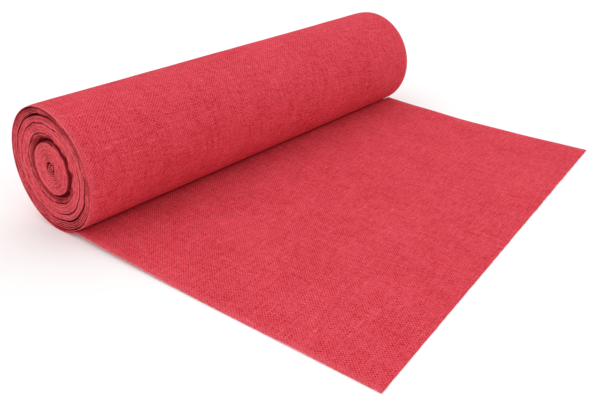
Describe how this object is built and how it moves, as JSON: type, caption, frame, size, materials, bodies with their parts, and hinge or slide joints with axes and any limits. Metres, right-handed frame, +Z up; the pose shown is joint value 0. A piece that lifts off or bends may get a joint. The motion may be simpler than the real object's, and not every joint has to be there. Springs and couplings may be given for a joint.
{
  "type": "fabric bolt",
  "caption": "Coreless roll of coarse woven cloth with one end laid out flat, split into bands of turns; it unrolls, telescopes and its free end folds back.",
  "frame": {"origin": "on the floor, under the middle of the object's box", "axes": "+Z up, +Y along the roll, +X the way the cloth is laid out"},
  "size_m": [0.7724, 0.9144, 0.221],
  "materials": {
    "laid_cloth": "matt coarse plain weave, dyed coral red, a little paler along the selvedges",
    "roll_face": "matt coarse plain weave, dyed coral red",
    "windings": "edge-on turns of coarse woven cloth, dusty coral red with darker gaps"
  },
  "bodies": {
    "laid_cloth": {"laid_cloth": "laid_cloth"},
    "free_end": {"free_end_flap": "laid_cloth"},
    "outer_turn": {"outer_turn": "roll_face"},
    "wound_roll": {"outer_windings_1": "windings", "outer_windings_2": "windings", "outer_windings_3": "windings", "outer_crossing": "windings"},
    "middle_coil": {"middle_windings_1": "windings", "middle_windings_2": "windings", "middle_windings_3": "windings", "middle_windings_4": "windings", "middle_windings_5": "windings", "inner_crossing": "windings"},
    "inner_coil": {"inner_windings_1": "windings", "inner_windings_2": "windings", "inner_windings_3": "windings", "inner_windings_4": "windings", "inner_end_fold": "windings"}
  },
  "joints": [
    {"name": "free_end_fold", "type": "hinge", "parent": "laid_cloth", "child": "free_end", "pos_m": [0.25425, 0, 0.0011], "axis": [0, -1, 0], "range_deg": [0, 165]},
    {"name": "roll_travel", "type": "slide", "parent": "laid_cloth", "child": "outer_turn", "axis": [1, 0, 0], "range_m": [-0.3, 0.25], "deforming": ["laid_cloth"]},
    {"name": "roll_turn", "type": "hinge", "parent": "outer_turn", "child": "wound_roll", "pos_m": [-0.27575, 0, 0.1105], "axis": [0, 1, 0], "range_deg": [-160, 135]},
    {"name": "middle_coil_slide", "type": "slide", "parent": "wound_roll", "child": "middle_coil", "axis": [0, 1, 0], "range_m": [-0.025, 0.025]},
    {"name": "inner_coil_slide", "type": "slide", "parent": "middle_coil", "child": "inner_coil", "axis": [0, 1, 0], "range_m": [-0.035, 0.035]}
  ],
  "couplings": [
    {"joint": "roll_turn", "follows": "roll_travel", "rad_per_m": 9.0498}
  ]
}
